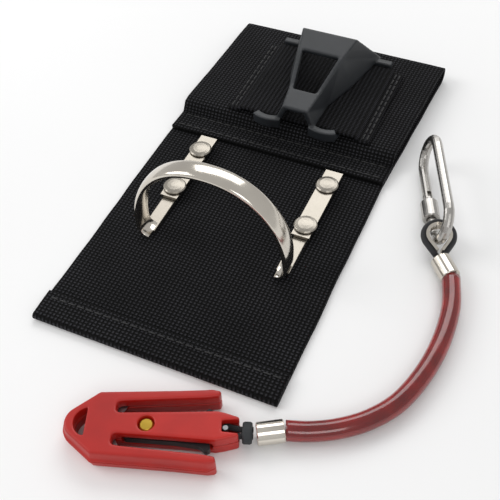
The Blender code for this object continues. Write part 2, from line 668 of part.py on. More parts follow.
lever_low, lever_high = PLATE_COVER + GAP, KNIFE_HIGH - PLATE_COVER - GAP
for side, word in ((-1, "near"), (1, "far")):
    site = (LEVER_PIVOT[0], side * LEVER_PIVOT[1], 0)
    lever_axis = empty("lever_axis_" + word, knife_axis, site)
    outline = [(s, side * v) for s, v in lever_outline()]
    lever = finish("guard_lever_" + word, prism(outline, lever_low, lever_high), guard_black, lever_axis)
    bore = [(0, 0), (PIN_R + GAP, 0), (PIN_R + GAP, KNIFE_HIGH), (0, KNIFE_HIGH)]
    combine(lever, turned(bore, 14), "DIFFERENCE")
    pin = [(0, pin_low), (PIN_R, pin_low), (PIN_R, pin_high), (0, pin_high)]
    finish("lever_pin_" + word, placed(turned(pin, 12), Matrix.Translation(site)), blade_steel, knife_axis)
    leaf = [(0.0150, 0.0002), (0.0170, -0.0002), (0.0192, -0.0006), (0.0215, -0.0003), (0.0235, 0.0004)]
    leaf_line = [(s, side * v) for s, v in leaf]
    finish("lever_spring_" + word, bar(leaf_line, 0.0003, lever_low + 0.0004, lever_high - 0.0004), blade_steel, lever_axis)
    blade = [(s, side * v) for s, v in blade_outline(0)]
    blade_mesh = prism(blade, middle_z - BLADE_THICK / 2, middle_z + BLADE_THICK / 2)
    finish("blade_" + word, blade_mesh, blade_steel, knife_axis, smooth=0)


# --- Lanyard --------------------------------------------------------------------------------------------


def along_knife(s, v=0.0, z=0.0):
    """A place given in the cutter's own stations, on the layout."""
    c, n = math.cos(KNIFE_TILT), math.sin(KNIFE_TILT)
    return Vector((KNIFE_XY[0] + s * c - v * n, KNIFE_XY[1] + s * n + v * c, z))


FERRULE_YAW = math.radians(30.7)
ferrule_start = along_knife(KEEPER_S + KEEPER_HALF[0] + 0.0014, 0, FERRULE_Z)
ferrule_way = Vector((math.cos(FERRULE_YAW), math.sin(FERRULE_YAW), 0))
ferrule_end = ferrule_start + ferrule_way * FERRULE_LONG

# the lanyard's route from the first ferrule to the second, chosen by hand
LANYARD_ROUTE = [(0.0647, -0.0057), (0.0735, -0.0007), (0.0818, 0.0066), (0.0887, 0.0169), (0.0931, 0.0311),
                 (0.0949, 0.0465), (0.0935, 0.0625)]
TOP_FERRULE_YAW = math.radians(130.5)
top_start = Vector((0.0901, 0.0763, FERRULE_Z))
top_way = Vector((math.cos(TOP_FERRULE_YAW), math.sin(TOP_FERRULE_YAW), 0))
top_end = top_start + top_way * FERRULE_LONG


def aimed(spot, way):
    """A frame at a spot whose Z points along a way."""
    return Matrix.Translation(spot) @ way.to_track_quat("Z", "Y").to_matrix().to_4x4()


def ferrule(name, start, way):
    """A crimped sleeve: a cup over the tube's end with a closed face to the cord eye."""
    lip = 0.0003
    profile = [(0, 0), (FERRULE_R - lip, 0), (FERRULE_R, lip), (FERRULE_R, FERRULE_LONG - lip),
               (FERRULE_R - lip, FERRULE_LONG), (0, FERRULE_LONG)]
    return finish(name, placed(turned(profile, 28), aimed(start, way)), steel)


ferrule("ferrule_knife", ferrule_start, ferrule_way)
ferrule("ferrule_thimble", top_start, top_way)

TUBE_END_GAP = 0.0006
END_STRAIGHT = 0.0050
tube_from = ferrule_end + ferrule_way * TUBE_END_GAP
tube_to = top_start - top_way * TUBE_END_GAP
route = [tube_from, tube_from + ferrule_way * END_STRAIGHT]
route += [Vector((x, y, TUBE_R + 0.0003)) for x, y in LANYARD_ROUTE] + [tube_to - top_way * END_STRAIGHT, tube_to]
lanyard_line = smooth_route(route, 4)
tube("lanyard_tube", lanyard_line, TUBE_R, tube_red, resolution=4, wall=TUBE_WALL)
tube("core_cord", lanyard_line, CORE_R, core_dark, resolution=2)

keeper = KEEPER_HALF
oval = [(keeper[1] * math.cos(t), keeper[2] * math.sin(t)) for t in (2 * math.pi * k / 20 for k in range(20))]
hole = [(0.0026 * math.cos(t), 0.0016 * math.sin(t)) for t in (2 * math.pi * k / 20 for k in range(20))]


def keeper_band():
    """An oval rubber ring round both runs of the cord eye."""
    c, n = math.cos(KNIFE_TILT), math.sin(KNIFE_TILT)
    rings = []
    rounding = ((-keeper[0], 0.90), (-keeper[0] * 0.6, 1.0), (keeper[0] * 0.6, 1.0), (keeper[0], 0.90))
    centre = along_knife(KEEPER_S, 0, middle_z)
    for along, size in rounding:
        rings.append([centre + Vector((along * c - v * size * n, along * n + v * size * c, z * size)) for v, z in oval])
    for along, _ in reversed(rounding):
        rings.append([centre + Vector((along * c - v * n, along * n + v * c, z)) for v, z in hole])
    return finish("keeper_band", loft(rings, closed=True), keeper_grey)


keeper_band()

eye_r = ANCHOR_PIN_R + GAP + EYE_CORD_R
eye_half = EYE_CORD_R + 0.00002
face_s = KEEPER_S + KEEPER_HALF[0] + 0.0014 - GAP - 0.0007
bend = [(TONGUE_END + 0.0005, eye_half), (0.0022, eye_half + 0.0003)]
eye = [(face_s, eye_half), (0.0072, eye_half), *bend, *arc((0, 0), eye_r, 55, 305, 12)]
eye += [(s, -v) for s, v in reversed([(face_s, eye_half), (0.0072, eye_half), *bend])]
tube("eye_cord_knife", [along_knife(s, v, middle_z) for s, v in eye], EYE_CORD_R - 0.00012, cord_black)


# --- Thimble with its cord eye, tilted up to lie over the carabiner's lower limb --------------------------

limb_z = SLEEVE_R + 0.0001
arc_z = limb_z + RING_ROD_R + GAP + 0.00271 + 0.0001
ring_way = Vector((math.cos(RING_YAW), math.sin(RING_YAW), 0))
thimble_from = top_end + top_way * GAP
arc_spot = Vector((0.0786, 0.0975, arc_z))
thimble_way = (arc_spot - thimble_from).normalized()
thimble_side = Vector((0, 0, 1)).cross(thimble_way).normalized()
thimble_up = thimble_way.cross(thimble_side)
cord_line_r = THIMBLE_HOLE_R + THIMBLE_WALL + 0.0001 + THIMBLE_CORD_R
section_r = (THIMBLE_HOLE_R + cord_line_r + THIMBLE_CORD_R) / 2
bow_centre = (arc_spot - thimble_from).length - section_r  # from the ferrule's face to the middle of the bow


def teardrop(radius, tip_half, start, steps=14):
    """A bow with two straight legs that come in to the ferrule, as (along, across) points."""
    reach = bow_centre - start
    slope = math.asin((radius - tip_half) / reach)
    turn = math.degrees(slope)
    bow = arc((bow_centre, 0), radius, 90 + turn, -90 - turn, steps)
    return [(start, tip_half), *bow, (start, -tip_half)]


def on_thimble(point, high=0.0):
    along, across = point
    return thimble_from + thimble_way * along + thimble_side * across + thimble_up * high


cord_legs = teardrop(cord_line_r, THIMBLE_CORD_R + 0.00005, 0.0015)
tube("eye_cord_thimble", [on_thimble(p) for p in cord_legs], THIMBLE_CORD_R - 0.00005, cord_black)


def thimble():
    """A channel bent round the inside of the cord eye, open towards the cord."""
    inner = teardrop(THIMBLE_HOLE_R, 0.0004, 0.0036)
    rings = []
    high, wall, lip = THIMBLE_HALF_HIGH, THIMBLE_WALL, 0.0013
    channel = [(0, -high), (lip, -high), (lip, -high + 0.0004), (wall, -high + 0.0005), (wall, high - 0.0005),
               (lip, high - 0.0004), (lip, high), (0, high)]
    for i, p in enumerate(inner):
        ahead, behind = inner[min(i + 1, len(inner) - 1)], inner[max(i - 1, 0)]
        along = (Vector(ahead) - Vector(behind)).normalized()
        outward = Vector((-along.y, along.x))
        rings.append([on_thimble((p[0] + outward.x * n, p[1] + outward.y * n), h) for n, h in channel])
    return finish("thimble", loft(rings), steel)


thimble()


# --- Carabiner, standing on its gate side through the thimble ----------------------------------------------

# its own frame: X along its length towards the far end, Y from the gate limb up to the spine
RING_ANCHOR_X = -0.0168  # where the thimble's arc sits on the gate limb
half_straight = RING_LONG / 2 - RING_ROD_R - RING_HALF
side_way = Vector((math.sin(RING_YAW), -math.cos(RING_YAW), 0))
ring_up = (Vector((0, 0, 1)) * math.cos(RING_LEAN) - side_way * math.sin(RING_LEAN)).normalized()
ring_out = ring_way.cross(ring_up)
ring_turn = Matrix((ring_way, ring_up, ring_out)).transposed()
anchor_y = -RING_HALF + (arc_z - limb_z) / math.cos(RING_LEAN)
swing_axis = empty("carabiner_axis", layout, arc_spot, ring_turn.to_euler())
AXIS_SHIFT = Vector((RING_ANCHOR_X, anchor_y, 0))  # the swing axis in the carabiner's frame


def on_ring(x, y, z=0.0):
    """A place in the carabiner's frame, measured from its swing axis."""
    return Vector((x, y, z)) - AXIS_SHIFT


def ring_path():
    """From the gate's hinge end round the far end, along the spine and round the thimble end to the nose."""
    far = arc((half_straight, 0), RING_HALF, -90, 90, 12)
    near = arc((-half_straight, 0), RING_HALF, 90, 270, 12)
    return [(GATE_HINGE_X - 0.0014, -RING_HALF), *far, *near, (GATE_NOSE_X - 0.0006, -RING_HALF)]


ring_line = [on_ring(x, y) for x, y in ring_path()]
frame = finish("carabiner_frame", rod(ring_line, RING_ROD_R, Vector((0, 0, 1))), steel, swing_axis)
fork = 0.0009
combine(frame, block(on_ring(GATE_HINGE_X - 0.003, -RING_HALF - 0.004, -fork),
                     on_ring(GATE_HINGE_X + 0.0022, -RING_HALF + 0.004, fork)), "DIFFERENCE")
pin_hole = turned([(0, -0.004), (0.0008, -0.004), (0.0008, 0.004), (0, 0.004)], 12)
combine(frame, placed(pin_hole, Matrix.Translation(on_ring(GATE_HINGE_X, -RING_HALF))), "DIFFERENCE")

gate_axis = empty("gate_axis", swing_axis, on_ring(GATE_HINGE_X, -RING_HALF))
gate_r = RING_ROD_R - 0.0003
sleeve_bore = gate_r + GAP
gate_reach = GATE_HINGE_X - GATE_NOSE_X


def gate():
    """A round bar from a flat hinge tongue to the nose, about its hinge pin."""
    bar_from, bar_to = -0.0023, -gate_reach
    rod = [(0, bar_to), (gate_r - 0.0003, bar_to), (gate_r, bar_to + 0.0003), (gate_r, bar_from), (0, bar_from)]
    body = placed(turned(rod, 20), Matrix.Rotation(math.pi / 2, 4, "Y"))
    made = finish("carabiner_gate", body, steel, gate_axis)
    eye_plate = [(-0.0030, -0.0013), *arc((0, 0), 0.0013, -90, 90, 8), (-0.0030, 0.0013)]
    combine(made, prism(eye_plate, -0.0006, 0.0006), "UNION")
    bore = turned([(0, -0.002), (0.0008, -0.002), (0.0008, 0.002), (0, 0.002)], 12)
    combine(made, bore, "DIFFERENCE")
    return made


gate()
finish("gate_pin", turned([(0, -RING_ROD_R + 0.0003), (0.0005, -RING_ROD_R + 0.0003), (0.0005, RING_ROD_R - 0.0003),
                           (0, RING_ROD_R - 0.0003)], 12), steel, gate_axis)
collar = [(sleeve_bore, 0), (SLEEVE_R - 0.0004, 0), (SLEEVE_R, 0.0005), (SLEEVE_R, SLEEVE_LONG - 0.0005),
          (SLEEVE_R - 0.0004, SLEEVE_LONG), (sleeve_bore, SLEEVE_LONG)]
sleeve_mesh = placed(turned(collar, 28), Matrix.Translation((-0.0028 - SLEEVE_LONG, 0, 0)) @ Matrix.Rotation(math.pi / 2, 4, "Y"))
finish("lock_sleeve", sleeve_mesh, steel, gate_axis)


# --- The origin goes under the middle of the holster and the cutter -------------------------------------------

ON_THE_CORD = {"eye_cord_knife", "keeper_band", "ferrule_knife", "lanyard_tube", "core_cord", "ferrule_thimble",
               "eye_cord_thimble", "thimble", "carabiner_frame", "carabiner_gate", "gate_pin", "lock_sleeve"}
bpy.context.view_layer.update()
own = [obj for obj in bpy.data.objects if obj.type == "MESH" and not obj.hide_render and obj.name not in ON_THE_CORD]
corners = [obj.matrix_world @ vert.co for obj in own for vert in obj.data.vertices]
for axis in (0, 1):
    low, high = min(c[axis] for c in corners), max(c[axis] for c in corners)
    layout.location[axis] = -(low + high) / 2
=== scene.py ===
# %% [markdown]
# # A belt holster with a tethered line cutter
# A mechanical model of the object is already built, with every joint in place. This script dresses it:
# cloth, thread, cords and finishes go on top of that fixed frame, and nothing in the frame moves.
# The frame is loaded first, because every size and place below is worked out from it.

# %% Load the frame
import json
import math

import bmesh
import bpy
from mathutils import Matrix, Vector, noise


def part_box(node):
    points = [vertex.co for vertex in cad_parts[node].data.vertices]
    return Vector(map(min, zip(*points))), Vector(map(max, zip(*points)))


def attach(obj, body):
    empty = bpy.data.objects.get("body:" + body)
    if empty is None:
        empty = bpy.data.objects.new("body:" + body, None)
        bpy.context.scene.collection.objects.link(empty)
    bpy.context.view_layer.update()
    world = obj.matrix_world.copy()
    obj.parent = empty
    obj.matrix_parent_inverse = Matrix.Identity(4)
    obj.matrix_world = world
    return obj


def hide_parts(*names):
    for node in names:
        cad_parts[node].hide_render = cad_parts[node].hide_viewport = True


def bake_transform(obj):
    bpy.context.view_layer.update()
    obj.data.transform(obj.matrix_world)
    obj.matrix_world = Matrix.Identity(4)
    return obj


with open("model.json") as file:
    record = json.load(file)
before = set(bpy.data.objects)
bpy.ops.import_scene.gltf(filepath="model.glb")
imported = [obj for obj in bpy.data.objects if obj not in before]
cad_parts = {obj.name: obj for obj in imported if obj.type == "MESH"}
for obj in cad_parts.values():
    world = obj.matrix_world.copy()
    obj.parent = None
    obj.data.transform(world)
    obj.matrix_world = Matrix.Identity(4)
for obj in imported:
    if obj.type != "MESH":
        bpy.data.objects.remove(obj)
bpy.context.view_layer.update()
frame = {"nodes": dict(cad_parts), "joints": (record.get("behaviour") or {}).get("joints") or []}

# %% [markdown]
# Real things are measured in millimetres, but Blender works in metres. One helper turns a place on the
# holster, in millimetres from the middle of its bottom edge, into a point in the scene. The bottom edge
# comes from the frame's own holster node.

# %% Units and places
MM = 0.001
PANEL_WIDE = 100
panel_low = Vector(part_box("holster_sheet")[0])
start = Vector((panel_low.x + PANEL_WIDE * MM / 2, panel_low.y, panel_low.z))


def at(x, y, z=0.0):
    """A point in the scene, from millimetres on the holster."""
    return start + Vector((x, y, z)) * MM


print("the panel's bottom edge is at", [round(v, 4) for v in start])

# %% [markdown]
# ## The camera
# The object lies on its back, and the viewer looks down on it from the front right. The camera is
# placed by the direction that it looks back along, so its three axes are worked out first: across, up
# and back. A small roll turns the picture round the line of sight.

# %% Camera
AZIMUTH, ELEVATION, ROLL = math.radians(26.16), math.radians(48.96), math.radians(3.0)
VIEWPOINT = (114.8, -145.9, 267.9)
back = Vector((math.sin(AZIMUTH) * math.cos(ELEVATION), -math.cos(AZIMUTH) * math.cos(ELEVATION),
               math.sin(ELEVATION)))
level = (-back).cross(Vector((0, 0, 1))).normalized()
down = (-back).cross(level)
right = level * math.cos(ROLL) + down * math.sin(ROLL)
up = level * math.sin(ROLL) - down * math.cos(ROLL)
lens = bpy.data.cameras.new("camera")
lens.sensor_width = 36
lens.lens = 63.7
lens.clip_start = 0.01
camera = bpy.data.objects.new("camera", lens)
bpy.context.scene.collection.objects.link(camera)
turned = Matrix((right, up, back)).transposed().to_4x4()
camera.matrix_world = Matrix.Translation(at(*VIEWPOINT)) @ turned
bpy.context.scene.camera = camera
print("camera at", [round(v, 3) for v in camera.matrix_world.translation])

# %% [markdown]
# ## Studio
# A product is shown on a pale sweep under soft boxes. Bright metal only looks like metal when it has
# something to reflect, so one large box stands behind, a second on the left and a third in front, and the
# room between them stays a little darker. A plain floor catches the contact shadows.

# %% Floor and lights
bpy.context.scene.view_settings.view_transform = "Standard"
world = bpy.data.worlds.new("studio")
world.use_nodes = True
world.node_tree.nodes["Background"].inputs["Color"].default_value = (1, 1, 1, 1)
world.node_tree.nodes["Background"].inputs["Strength"].default_value = 0.58
bpy.context.scene.world = world


def soft_box(name, spot, aim, wide, high, power):
    """A rectangular lamp that faces a point."""
    lamp = bpy.data.lights.new(name, "AREA")
    lamp.shape = "RECTANGLE"
    lamp.size, lamp.size_y, lamp.energy = wide, high, power
    box = bpy.data.objects.new(name, lamp)
    bpy.context.scene.collection.objects.link(box)
    box.location = spot
    box.rotation_euler = (Vector(aim) - Vector(spot)).to_track_quat("-Z", "Y").to_euler()
    return box


middle = at(10, 70)
soft_box("back_box", middle + Vector((-0.15, 0.75, 0.75)), middle, 0.9, 0.5, 3.6)
soft_box("left_box", middle + Vector((-0.85, -0.20, 0.70)), middle, 0.6, 0.6, 3.4)
soft_box("front_box", middle + Vector((0.55, -0.75, 0.90)), middle, 0.5, 0.5, 2.2)

FLOOR_HALF = 3.0
floor_mesh = bpy.data.meshes.new("floor")
floor_corners = [(x * FLOOR_HALF, y * FLOOR_HALF, 0) for x, y in ((-1, -1), (1, -1), (1, 1), (-1, 1))]
floor_mesh.from_pydata(floor_corners, [], [(0, 1, 2, 3)])
floor = bpy.data.objects.new("floor", floor_mesh)
bpy.context.scene.collection.objects.link(floor)
print("studio ready")

# %% [markdown]
# ## Making materials
# Every finish below is a Principled shader with a few nodes in front of it. Colours are written as the
# sRGB hex codes that a colour picker shows, and Blender's shaders need linear light, so one function
# converts them. A second function adds any node: what it is given for an input is either a value or
# another node's output.

# %% Colour and node helpers
def linear(code):
    """An sRGB hex colour as linear RGBA."""
    parts = [int(code[i:i + 2], 16) / 255 for i in (1, 3, 5)]
    return (*[c / 12.92 if c <= 0.04045 else ((c + 0.055) / 1.055) ** 2.4 for c in parts], 1)


def add(tree, kind, inputs=None, **settings):
    """Adds a node. Settings are its own options, and inputs maps a socket to a value or to an output."""
    made = tree.nodes.new("ShaderNode" + kind)
    for name, value in settings.items():
        setattr(made, name, value)
    for socket, value in (inputs or {}).items():
        if isinstance(value, bpy.types.NodeSocket):
            tree.links.new(value, made.inputs[socket])
        else:
            made.inputs[socket].default_value = value
    return made


def finish(name, color, roughness, **constants):
    """A material with its Principled shader, whose constants are set straight on the sockets."""
    made = bpy.data.materials.new(name)
    made.use_nodes = True
    tree = made.node_tree
    shader = tree.nodes["Principled BSDF"]
    shader.inputs["Base Color"].default_value = linear(color)
    shader.inputs["Roughness"].default_value = roughness
    for socket, value in constants.items():
        shader.inputs[socket.replace("_", " ")].default_value = value
    made.diffuse_color = linear(color)
    return made, tree, shader


def ramp(tree, value, stops):
    """A colour ramp of (position, hex) stops."""
    made = add(tree, "ValToRGB", {"Fac": value})
    band = made.color_ramp
    while len(band.elements) < len(stops):
        band.elements.new(0.5)
    for element, (place, code) in zip(band.elements, stops):
        element.position = place
        element.color = linear(code)
    return made.outputs["Color"]


def spread(tree, value, low, high):
    """Maps a pattern from 0-1 to a range of roughness."""
    return add(tree, "MapRange", {"Value": value, "To Min": low, "To Max": high}).outputs["Result"]


def relief(tree, shader, height, depth, strength=1.0):
    """Feeds a height pattern to the shader as bumps of a real depth in metres."""
    bump = add(tree, "Bump", {"Height": height, "Distance": depth, "Strength": strength})
    tree.links.new(bump.outputs["Normal"], shader.inputs["Normal"])


print("helpers ready")

# %% [markdown]
# ## Nylon fabric
# The holster is cut from heavy nylon cloth in a plain weave: each yarn goes over one and under one. A
# weave could be modelled thread by thread, but at this size a height pattern is enough. The pattern needs
# two facts: the yarns are about a millimetre apart, and a yarn is round, so its height follows a sine.
# A checker says which yarn is on top. The same recipe, with other spacings, makes the webbing.

# %% Woven finishes
def woven(name, colors, warp, weft, depth, fuzz=0.25):
    """A plain weave from UVs in metres, with yarns a given distance apart."""
    made, tree, shader = finish(name, colors[1], 0.86, Specular_IOR_Level=0.2)
    uv = add(tree, "UVMap", uv_map="cloth")
    parts = add(tree, "SeparateXYZ", {"Vector": uv.outputs["UV"]})
    rows = []
    cells = []
    for axis, pitch in (("X", warp), ("Y", weft)):
        step = add(tree, "Math", {0: parts.outputs[axis], 1: 1 / pitch}, operation="MULTIPLY").outputs[0]
        turn = add(tree, "Math", {0: step, 1: math.pi}, operation="MULTIPLY").outputs[0]
        wave = add(tree, "Math", {0: turn}, operation="SINE").outputs[0]
        rows.append(add(tree, "Math", {0: wave}, operation="ABSOLUTE").outputs[0])
        cells.append(add(tree, "Math", {0: step}, operation="FLOOR").outputs[0])
    total = add(tree, "Math", {0: cells[0], 1: cells[1]}).outputs[0]
    over = add(tree, "Math", {0: total, 1: 2.0}, operation="FLOORED_MODULO").outputs[0]
    yarns = []
    for mine, other in (rows, rows[::-1]):
        dip = add(tree, "Math", {0: other, 1: 0.55, 2: 0.45}, operation="MULTIPLY_ADD").outputs[0]
        yarns.append(add(tree, "Math", {0: mine, 1: dip}, operation="MULTIPLY").outputs[0])
    weave = add(tree, "Mix", {"Factor": over, "A": yarns[0], "B": yarns[1]}, data_type="FLOAT").outputs[0]
    lint = add(tree, "TexNoise", {"Vector": uv.outputs["UV"], "Scale": 2600.0, "Detail": 3.0}).outputs["Fac"]
    height = add(tree, "Math", {0: lint, 1: fuzz, 2: weave}, operation="MULTIPLY_ADD").outputs[0]
    patchy_tone_and_edge_highlight = add(tree, "TexNoise", {"Vector": uv.outputs["UV"], "Scale": 45.0, "Detail": 4.0}).outputs["Fac"]
    lit = add(tree, "Math", {0: spread(tree, patchy_tone_and_edge_highlight, 0.40, 0.60), 1: height}, operation="MULTIPLY").outputs[0]
    # the ramp follows the yarn height: a painted highlight on the yarn tops and painted shade in the hollows
    # between the yarns
    tree.links.new(ramp(tree, lit, [(0.12, colors[0]), (0.34, colors[1]), (0.70, colors[2])]),
                   shader.inputs["Base Color"])
    tree.links.new(spread(tree, lint, 0.78, 0.95), shader.inputs["Roughness"])
    relief(tree, shader, height, depth)
    return made


# the third colour of each weave is the painted highlight on the yarn tops
nylon_cloth = woven("nylon_cloth", ("#010101", "#060607", "#46464b"), 1.65 * MM, 1.45 * MM, 1.0 * MM)
webbing_weave = woven("webbing_weave", ("#010101", "#060607", "#3c3c42"), 0.95 * MM, 1.90 * MM, 0.80 * MM)
print("woven finishes ready")

# %% [markdown]
# ## The holster's cloth
# One length of cloth makes the whole holster. It starts at a turned hem, runs up the back, folds over at
# the top and comes down the front again to be sewn, which leaves a sleeve for a belt. Drawing that
# route once, as a side profile, and pulling it across the width keeps the cloth one continuous sheet of
# the right length. The folded top was sewn a few millimetres off to one side, so it leans.

# %% Side profile of the cloth
SHEET = 1.75
SLEEVE_TOP, SEAM_LOW, SEAM_HIGH, SLEEVE_LOW = 197.0, 116.0, 127.0, 130.0
LAYER_Z = SHEET / 2 + 0.03
SLEEVE_Z = 8.6 - SHEET / 2
LEAN = 4.0


def stretch(a, b, step=1.8):
    """Points from a towards b, evenly spaced, without b."""
    count = max(1, round(math.dist(a, b) / step))
    return [(a[0] + (b[0] - a[0]) * i / count, a[1] + (b[1] - a[1]) * i / count) for i in range(count)]


def bend(centre, radius, first, last, count):
    """Points round a fold, in degrees."""
    turns = [math.radians(first + (last - first) * i / count) for i in range(count + 1)]
    return [(centre[0] + radius * math.cos(t), centre[1] + radius * math.sin(t)) for t in turns]


HEM_Z = LAYER_Z + 1.45
HEM_DEEP, HEM_FOLD_Y, HEM_FOLD_R = 13.0, 1.7, 0.72
fold = (SLEEVE_Z - LAYER_Z) / 2
profile = stretch((HEM_DEEP, HEM_Z), (HEM_FOLD_Y, HEM_Z))
profile += bend((HEM_FOLD_Y, (HEM_Z + LAYER_Z) / 2), HEM_FOLD_R, 90, 270, 6)
profile += stretch((HEM_FOLD_Y + 0.7, LAYER_Z), (SLEEVE_TOP - fold - SHEET / 2, LAYER_Z))
profile += bend((SLEEVE_TOP - fold - SHEET / 2, LAYER_Z + fold), fold, -90, 90, 12)
profile += stretch((SLEEVE_TOP - fold - 2.6, SLEEVE_Z), (SLEEVE_LOW + 0.6, SLEEVE_Z))
profile += [(SLEEVE_LOW - 0.4, SLEEVE_Z - 0.5), (SEAM_HIGH + 1.6, 5.4), (SEAM_HIGH + 0.4, 3.4)]
profile += stretch((SEAM_HIGH - 0.6, LAYER_Z + SHEET + 0.05), (SEAM_LOW, LAYER_Z + SHEET + 0.05))
profile += [(SEAM_LOW, LAYER_Z + SHEET + 0.05)]

# %% [markdown]
# The sheet is a grid with its two texture directions along the cloth, in metres, so that the weave keeps
# its scale round the fold. Cloth is never quite flat: low waves lift its free edges a fraction of a
# millimetre. A simulation would do little more on a sheet this stiff, so the waves come from a smooth
# noise that is the same on every run. Solidify then gives the sheet a thickness.

# %% Cloth sheet
def lean(y):
    """How far the folded top is off to one side at a height up the holster."""
    return LEAN * min(max((y - SEAM_LOW) / (SLEEVE_TOP - SEAM_LOW), 0), 1)


def face_out(mesh):
    """Turns every face of a closed mesh to face out."""
    bm = bmesh.new()
    bm.from_mesh(mesh)
    bmesh.ops.recalc_face_normals(bm, faces=bm.faces)
    bm.to_mesh(mesh)
    bm.free()


def grid(name, rows, uvs, look):
    """A sheet through rows of points, with a UV map in metres."""
    across = len(rows[0])
    verts = [point for row in rows for point in row]
    faces = [(r * across + c, r * across + c + 1, (r + 1) * across + c + 1, (r + 1) * across + c)
             for r in range(len(rows) - 1) for c in range(across - 1)]
    mesh = bpy.data.meshes.new(name)
    mesh.from_pydata(verts, [], faces)
    layer = mesh.uv_layers.new(name="cloth")
    flat = [place for row in uvs for place in row]
    for loop in mesh.loops:
        layer.data[loop.index].uv = flat[loop.vertex_index]
    mesh.shade_smooth()
    mesh.materials.append(look)
    made = bpy.data.objects.new(name, mesh)
    bpy.context.scene.collection.objects.link(made)
    return made


ACROSS = 44
PUCKER = 0.088
rows, uvs, run = [], [], 0.0
for i, (y, z) in enumerate(profile):
    run += math.dist(profile[i - 1], (y, z)) if i else 0
    row, places = [], []
    for k in range(ACROSS + 1):
        x = (k / ACROSS - 0.5) * PANEL_WIDE
        edge = abs(2 * k / ACROSS - 1) ** 4
        wave = noise.noise(Vector((x / 34, y / 30, z / 9))) * (0.16 + 0.30 * edge)
        lift = max(wave, -0.02) if z < HEM_Z + 1 else wave
        pull = 0.30 * noise.noise(Vector((x / 20, y / 16, 7)))
        pucker = PUCKER * math.sin(x / 2.1) * math.exp(-((y - SEAM_LOW - 5) / 7) ** 2) if z > HEM_Z else 0
        row.append(at(x + lean(y) + pull * edge, y, z + lift + pucker))
        places.append((x * MM, run * MM))
    rows.append(row)
    uvs.append(places)
holster_cloth = grid("holster_cloth", rows, uvs, nylon_cloth)
thickness = holster_cloth.modifiers.new("thickness", "SOLIDIFY")
thickness.thickness = SHEET * MM
thickness.offset = 0
thickness.use_even_offset = True
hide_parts("holster_sheet")
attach(holster_cloth, "holster")
print("holster cloth:", len(holster_cloth.data.polygons), "faces")

# %% [markdown]
# ## Webbing band
# The clip slides on two rails, and a band of 50 mm webbing is sewn down over them on both sides. Webbing
# is thick and narrow, so it is modelled directly: a short profile over the rails, pulled along the width
# of the band, with finely rounded steps where it climbs.

# %% Webbing
webbing_low, webbing_high = (Vector(corner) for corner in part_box("clip_webbing"))
WEB_THICK = 1.5
web_middle = (webbing_low.x + webbing_high.x) / 2
web_half = (webbing_high.x - webbing_low.x) / 2
base_z = webbing_low.z + WEB_THICK * MM / 2 + 0.05 * MM
top_z = webbing_high.z - WEB_THICK * MM / 2 - 0.02 * MM
CLIMB_FROM, CLIMB_TO = 29.2, 26.6
BAND_LONG, BAND_ACROSS = 90, 28
band_rows, band_uvs = [], []
for k in range(BAND_LONG + 1):
    x = -web_half + 2 * web_half * k / BAND_LONG
    share = min(max((CLIMB_FROM * MM - abs(x)) / ((CLIMB_FROM - CLIMB_TO) * MM), 0), 1)
    z = base_z + (top_z - base_z) * (share * share * (3 - 2 * share))
    line, places = [], []
    for m in range(BAND_ACROSS + 1):
        y = webbing_low.y + (webbing_high.y - webbing_low.y) * m / BAND_ACROSS
        wobble = 0.10 * MM * noise.noise(Vector((x * 90, y * 120, 3)))
        line.append(Vector((web_middle + x, y, z + wobble)))
        places.append((y, x))
    band_rows.append(line)
    band_uvs.append(places)
webbing_band = grid("webbing_band", band_rows, band_uvs, webbing_weave)
thickness = webbing_band.modifiers.new("thickness", "SOLIDIFY")
thickness.thickness = WEB_THICK * MM
thickness.offset = 0
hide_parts("clip_webbing")
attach(webbing_band, "holster")
print("webbing band", round(2 * web_half / MM), "mm long")

# %% [markdown]
# ## Thread
# Lockstitch shows as a row of short dashes, each a loop of thick thread pulled into the cloth. A dash
# is a bar whose ends dip under the surface. One mesh holds every row: the hem, the two rows that close
# the sleeve, and the rows down each end of the webbing.

# %% Stitches
thread, tree, shader = finish("bonded_thread", "#17171a", 0.55, Sheen_Weight=0.1)
spot = add(tree, "TexCoord")
plies = add(tree, "TexWave", {"Vector": spot.outputs["Object"], "Scale": 900.0, "Distortion": 1.0},
            bands_direction="DIAGONAL")
# the ramp follows the ply height: painted shade in the grooves between the plies and a painted highlight on
# their crests
painted_ply_shade = ramp(tree, plies.outputs["Fac"], [(0.0, "#040405"), (1.0, "#121214")])
tree.links.new(painted_ply_shade, shader.inputs["Base Color"])
relief(tree, shader, plies.outputs["Fac"], 0.08 * MM)

STITCH, STITCH_GAP, THREAD_R, THREAD_SIDES = 3.1, 0.7, 0.36, 8
verts, faces = [], []


def stitch(a, b):
    """One dash from a to b, in scene points: rings along an arch that dips at both ends."""
    along = (b - a).normalized()
    side = along.cross(Vector((0, 0, 1))).normalized()
    over = side.cross(along)
    base = len(verts)
    stations = (0, 0.08, 0.25, 0.5, 0.75, 0.92, 1)
    for t in stations:
        high = 0.16 * math.sin(math.pi * t) - 0.10
        size = THREAD_R * MM * (0.45 if t in (0, 1) else 1)
        centre = a.lerp(b, t) + over * high * MM
        for k in range(THREAD_SIDES):
            turn = 2 * math.pi * k / THREAD_SIDES
            verts.append(centre + (side * math.cos(turn) + over * math.sin(turn) * 0.7) * size)
    for r in range(len(stations) - 1):
        for k in range(THREAD_SIDES):
            j = (k + 1) % THREAD_SIDES
            low, high = base + r * THREAD_SIDES, base + (r + 1) * THREAD_SIDES
            faces.append((low + k, low + j, high + j, high + k))
    faces.append(tuple(base + k for k in reversed(range(THREAD_SIDES))))
    faces.append(tuple(base + (len(stations) - 1) * THREAD_SIDES + k for k in range(THREAD_SIDES)))


def seam(a, b):
    """A row of stitches between two points in millimetres on the holster."""
    a, b = Vector(a), Vector(b)
    count = int((b - a).length / (STITCH + STITCH_GAP))
    for i in range(count):
        near = a.lerp(b, (i + 0.10) / count)
        far = a.lerp(b, (i + 0.92) / count)
        stitch(at(near.x + lean(near.y), near.y, near.z), at(far.x + lean(far.y), far.y, far.z))


